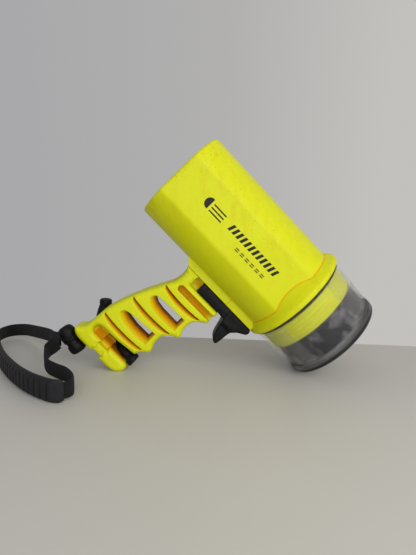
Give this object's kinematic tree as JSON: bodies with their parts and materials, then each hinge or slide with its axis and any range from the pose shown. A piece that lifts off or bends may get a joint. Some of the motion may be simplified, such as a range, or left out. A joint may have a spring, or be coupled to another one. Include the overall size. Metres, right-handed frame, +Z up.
{
  "type": "firefighter flashlight",
  "caption": "Pistol-grip waterproof hand lamp with a clear screw-on bezel, a sliding trigger switch and a wrist strap, resting nose down.",
  "frame": {"origin": "on the ground, under the middle of the lamp's bounding box without the lanyard", "axes": "+Z up, +X the way the beam points over the ground, so the beam runs forward and 45.6 degrees down; the XZ plane is the lamp's mirror plane"},
  "size_m": [0.341, 0.1649, 0.189],
  "materials": {
    "yellow_shell": "satin moulded plastic, scuffed",
    "steel": "zinc plated",
    "reed_glass": "clear",
    "seal_rubber": "matt",
    "carrier_plastic": "satin",
    "cell_wrap": "printed sleeve, left plain",
    "black_plastic": "satin moulded plastic",
    "lanyard_cord": "braided",
    "webbing": "woven",
    "sleeve_rubber": "ribbed, matt",
    "magnet": "nickel plated",
    "smoked_shell": "gloss",
    "reflector_chrome": "mirror",
    "heat_sink_alloy": "machined",
    "led_ceramic": "ceramic white",
    "led_dome": "phosphor under clear dome",
    "circuit_board": "solder mask",
    "spring_brass": "bright",
    "clear_polycarbonate": "clear, lightly scratched"
  },
  "bodies": {
    "case": {"housing": "yellow_shell", "handle": "yellow_shell", "handle_screw_1": "steel", "handle_screw_2": "steel", "reed_switch": "reed_glass", "o_ring": "seal_rubber", "carrier_rear_plate": "carrier_plastic", "carrier_middle_plate": "carrier_plastic", "carrier_front_plate": "carrier_plastic", "carrier_rod": "steel", "cell_1": "cell_wrap", "cell_2": "cell_wrap", "cell_3": "cell_wrap", "cell_4": "cell_wrap", "cell_5": "cell_wrap", "cell_6": "cell_wrap", "cell_7": "cell_wrap", "cell_8": "cell_wrap", "cell_spring_1": "steel", "cell_spring_2": "steel", "cell_spring_3": "steel", "cell_spring_4": "steel", "cell_spring_5": "steel", "cell_spring_6": "steel", "cell_spring_7": "steel", "cell_spring_8": "steel", "lanyard_cord": "lanyard_cord", "lanyard_toggle": "black_plastic", "strap_lock_body": "black_plastic", "strap_lock_spring": "steel", "strap_band_far": "webbing", "strap_sleeve": "sleeve_rubber", "strap_band_near": "webbing"},
    "trigger": {"trigger": "black_plastic", "trigger_magnet": "magnet"},
    "lamp_module": {"lamp_shell": "smoked_shell", "reflector": "reflector_chrome", "heat_sink": "heat_sink_alloy", "led_board": "led_ceramic", "led_emitter": "led_dome", "driver_board": "circuit_board", "contact_spring": "spring_brass"},
    "bezel": {"clear_bezel": "clear_polycarbonate"},
    "lock_button": {"strap_lock_button": "black_plastic"}
  },
  "joints": [
    {"name": "trigger_slide", "type": "slide", "parent": "case", "child": "trigger", "axis": [-0.7001, 0, 0.714], "range_m": [0, 0.0055]},
    {"name": "bezel_advance", "type": "slide", "parent": "case", "child": "lamp_module", "axis": [0.7001, 0, -0.714], "range_m": [0, 0.01651]},
    {"name": "bezel_turn", "type": "hinge", "parent": "lamp_module", "child": "bezel", "pos_m": [0.07466, 0, 0.04719], "axis": [0.7001, 0, -0.714], "range_deg": [0, 1980]},
    {"name": "lock_press", "type": "slide", "parent": "case", "child": "lock_button", "axis": [-0.5592, 0, 0.829], "range_m": [0, 0.0025], "stiffness_N_per_m": 400, "springref_m": -0.002, "deforming": ["strap_lock_spring"]}
  ],
  "couplings": [
    {"joint": "bezel_advance", "follows": "bezel_turn", "m_per_rad": 0.00047746}
  ]
}
